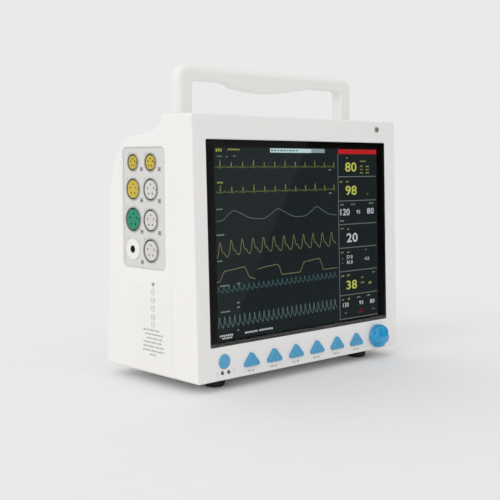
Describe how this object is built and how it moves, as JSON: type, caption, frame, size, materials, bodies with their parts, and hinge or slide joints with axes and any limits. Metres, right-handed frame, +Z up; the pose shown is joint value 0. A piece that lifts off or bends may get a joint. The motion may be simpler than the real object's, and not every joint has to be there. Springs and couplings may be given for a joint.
{
  "type": "patient monitor",
  "caption": "Bedside patient monitor: raked display over a key row and push dial, side sensor sockets, rear connectors, battery door and fold-back handle.",
  "frame": {"origin": "under the middle of the monitor, on the surface that its feet stand on", "axes": "+Z up, X across the front with +X to the viewer's right, the display facing -Y"},
  "size_m": [0.3083, 0.1707, 0.324],
  "materials": {
    "casing": "fine-textured moulded plastic",
    "window_glass": "clear gloss",
    "black_print": "black ink behind the glass",
    "foam": "closed-cell foam",
    "steel": "zinc plated",
    "display": "dark liquid-crystal glass",
    "board": "solder mask",
    "black_plastic": "satin",
    "blue_key": "satin",
    "blue_button": "satin",
    "blue_knob": "gloss",
    "lamp": "smoked lens",
    "brass": "machined",
    "handle_plastic": "fine-textured moulded plastic",
    "washer": "fibre",
    "panel_grey": "fine-textured",
    "socket_dark": "satin",
    "socket_yellow": "satin",
    "socket_green": "satin",
    "socket_grey": "satin",
    "white_plastic": "satin",
    "label": "printed film",
    "alloy": "satin",
    "hose": "translucent silicone",
    "door": "fine-textured moulded plastic",
    "plate": "satin",
    "rubber": "moulded rubber"
  },
  "bodies": {
    "casing": {"front_bezel": "casing", "rear_casing": "casing", "display_window": "window_glass", "display_mask": "black_print", "window_gasket": "foam", "lcd_frame": "steel", "chassis": "steel", "earth_post": "steel", "case_screws": "steel", "inner_screws": "steel", "handle_pins": "steel", "door_pin": "steel", "lcd_panel": "display", "main_board": "board", "key_board": "board", "sensor_board": "board", "key_switches": "black_plastic", "encoder_housing": "black_plastic", "battery_pack": "black_plastic", "battery_bay": "black_plastic", "speaker": "black_plastic", "ac_inlet": "black_plastic", "status_lights": "lamp", "alarm_lens": "lamp", "mount_inserts": "brass", "friction_washers": "washer", "sensor_panel": "panel_grey", "socket_shells": "socket_dark", "socket_temp_rear": "socket_yellow", "socket_temp_front": "socket_yellow", "socket_pressure": "socket_yellow", "socket_ecg": "socket_green", "socket_output": "socket_grey", "socket_oximeter": "socket_grey", "socket_gas": "socket_grey", "cuff_port": "white_plastic", "side_label": "label", "cuff_pump": "alloy", "power_supply": "alloy", "air_hose": "hose", "io_plate": "plate", "network_port": "plate", "signal_port": "plate", "feet": "rubber"},
    "handle": {"carry_handle": "handle_plastic"},
    "power_button": {"power_button": "blue_button"},
    "dial_rotor": {"encoder_rotor": "black_plastic"},
    "dial_knob": {"knob": "blue_knob", "encoder_shaft": "brass"},
    "battery_door": {"battery_door": "door"},
    "key_1": {"key_1": "blue_key"},
    "key_2": {"key_2": "blue_key"},
    "key_3": {"key_3": "blue_key"},
    "key_4": {"key_4": "blue_key"},
    "key_5": {"key_5": "blue_key"},
    "key_6": {"key_6": "blue_key"}
  },
  "joints": [
    {"name": "power_press", "type": "slide", "parent": "casing", "child": "power_button", "axis": [0, 0.9995, -0.0314], "range_m": [0, 0.0012], "stiffness_N_per_m": 900},
    {"name": "key_1_press", "type": "slide", "parent": "casing", "child": "key_1", "axis": [0, 0.9995, -0.0314], "range_m": [0, 0.0012], "stiffness_N_per_m": 900},
    {"name": "key_2_press", "type": "slide", "parent": "casing", "child": "key_2", "axis": [0, 0.9995, -0.0314], "range_m": [0, 0.0012], "stiffness_N_per_m": 900},
    {"name": "key_3_press", "type": "slide", "parent": "casing", "child": "key_3", "axis": [0, 0.9995, -0.0314], "range_m": [0, 0.0012], "stiffness_N_per_m": 900},
    {"name": "key_4_press", "type": "slide", "parent": "casing", "child": "key_4", "axis": [0, 0.9995, -0.0314], "range_m": [0, 0.0012], "stiffness_N_per_m": 900},
    {"name": "key_5_press", "type": "slide", "parent": "casing", "child": "key_5", "axis": [0, 0.9995, -0.0314], "range_m": [0, 0.0012], "stiffness_N_per_m": 900},
    {"name": "key_6_press", "type": "slide", "parent": "casing", "child": "key_6", "axis": [0, 0.9995, -0.0314], "range_m": [0, 0.0012], "stiffness_N_per_m": 900},
    {"name": "dial_turn", "type": "hinge", "parent": "casing", "child": "dial_rotor", "pos_m": [0.1162, -0.0732, 0.02689], "axis": [0, 0.9995, -0.0314], "continuous": true},
    {"name": "dial_push", "type": "slide", "parent": "dial_rotor", "child": "dial_knob", "axis": [0, 0.9995, -0.0314], "range_m": [0, 0.0006], "stiffness_N_per_m": 2500},
    {"name": "handle_fold", "type": "hinge", "parent": "casing", "child": "handle", "pos_m": [0, -0.0116, 0.2635], "axis": [-1, 0, 0], "range_deg": [0, 90]},
    {"name": "battery_door_swing", "type": "hinge", "parent": "casing", "child": "battery_door", "pos_m": [0.1526, 0.0143, 0.0344], "axis": [0, 1, 0], "range_deg": [0, 95]}
  ]
}
